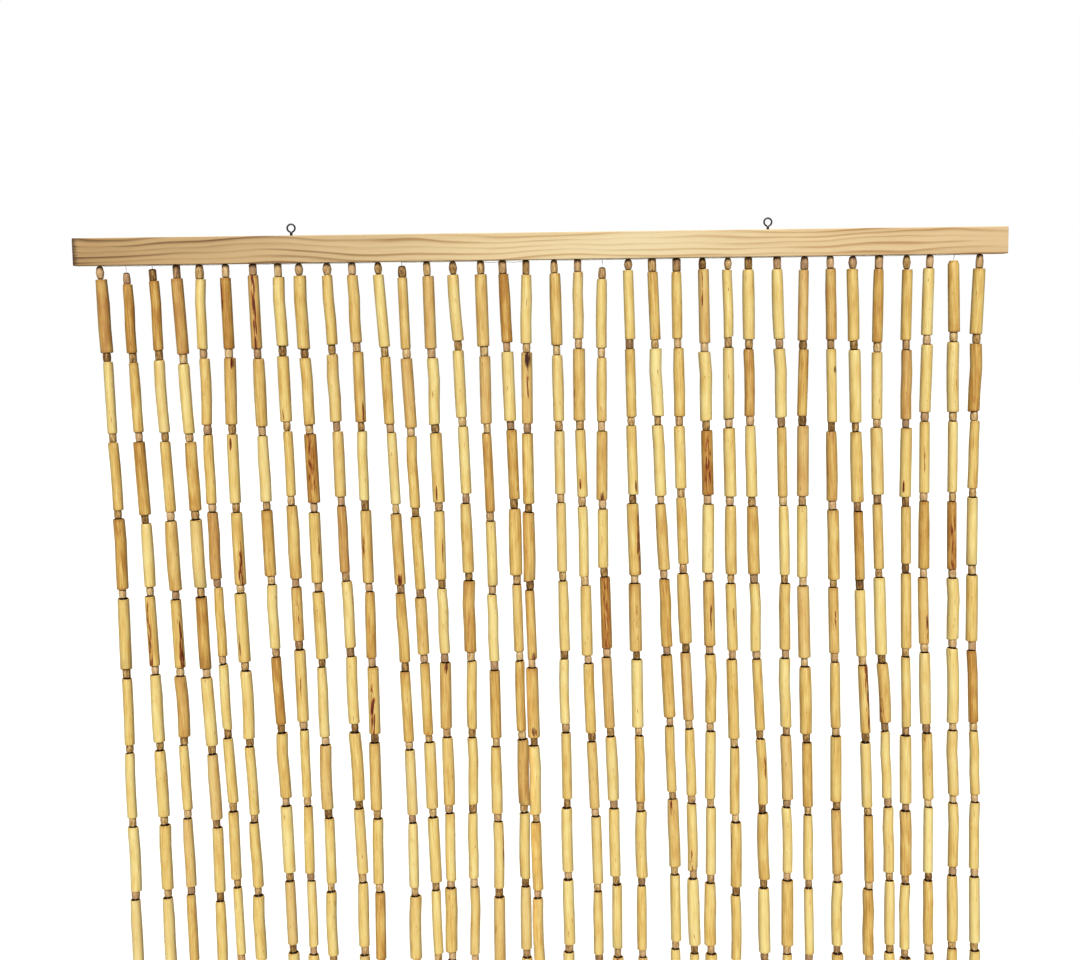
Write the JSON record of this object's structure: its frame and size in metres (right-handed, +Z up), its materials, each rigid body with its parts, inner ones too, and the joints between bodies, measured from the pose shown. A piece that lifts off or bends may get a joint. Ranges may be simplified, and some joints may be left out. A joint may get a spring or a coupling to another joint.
{
  "type": "bead curtain on wooden batten",
  "caption": "Door curtain of bamboo tubes and short wooden beads strung on thin lines, hung from a plain wooden batten with screw eyes.",
  "frame": {"origin": "midway between the centres of the two screw eyes, above the middle of the batten", "axes": "+Z up, +X to the right as seen from the front, the curtain's front faces -Y"},
  "size_m": [0.9, 0.0188, 1.9148],
  "materials": {
    "pine": "bare planed softwood, matt",
    "steel": "dark wire, dull",
    "bamboo": "dried bamboo cane, satin"
  },
  "bodies": {
    "root": {"batten": "pine", "eye_left": "steel", "eye_right": "steel", "strands_1": "bamboo", "strands_2": "bamboo", "strands_3": "bamboo", "strands_4": "bamboo", "strands_5": "bamboo", "strands_6": "bamboo"}
  },
  "joints": []
}
